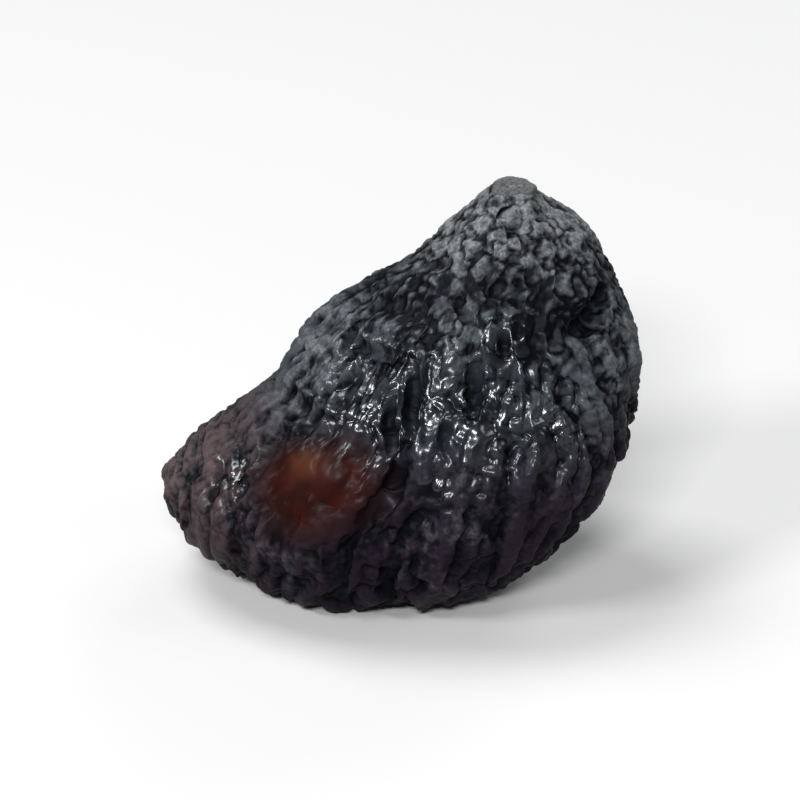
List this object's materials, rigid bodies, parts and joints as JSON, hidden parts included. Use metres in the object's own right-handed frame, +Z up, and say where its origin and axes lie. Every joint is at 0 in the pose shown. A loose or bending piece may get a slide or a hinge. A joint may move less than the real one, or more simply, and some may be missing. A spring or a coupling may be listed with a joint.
{
  "type": "dried fig",
  "caption": "Whole dried black fig: a squashed teardrop with a wrinkled, ribbed skin, a bent neck with a cut stem end, and a puckered eye, resting on its pressed underside.",
  "frame": {"origin": "centre of the object's box, on the surface that the fig rests on", "axes": "+Z up from the pressed underside, +X along the longest side, towards the neck, +Y along the narrowest side, away from the smooth cheek"},
  "size_m": [0.0324, 0.0221, 0.0276],
  "materials": {
    "skin": "leathery dried fruit skin, satin on the ribs with a dull grey bloom, glossier in the middle",
    "stem": "dry woody cut end of the stem",
    "seed": "small hard golden seeds in the eye"
  },
  "bodies": {
    "root": {"fig": "skin"}
  },
  "joints": []
}
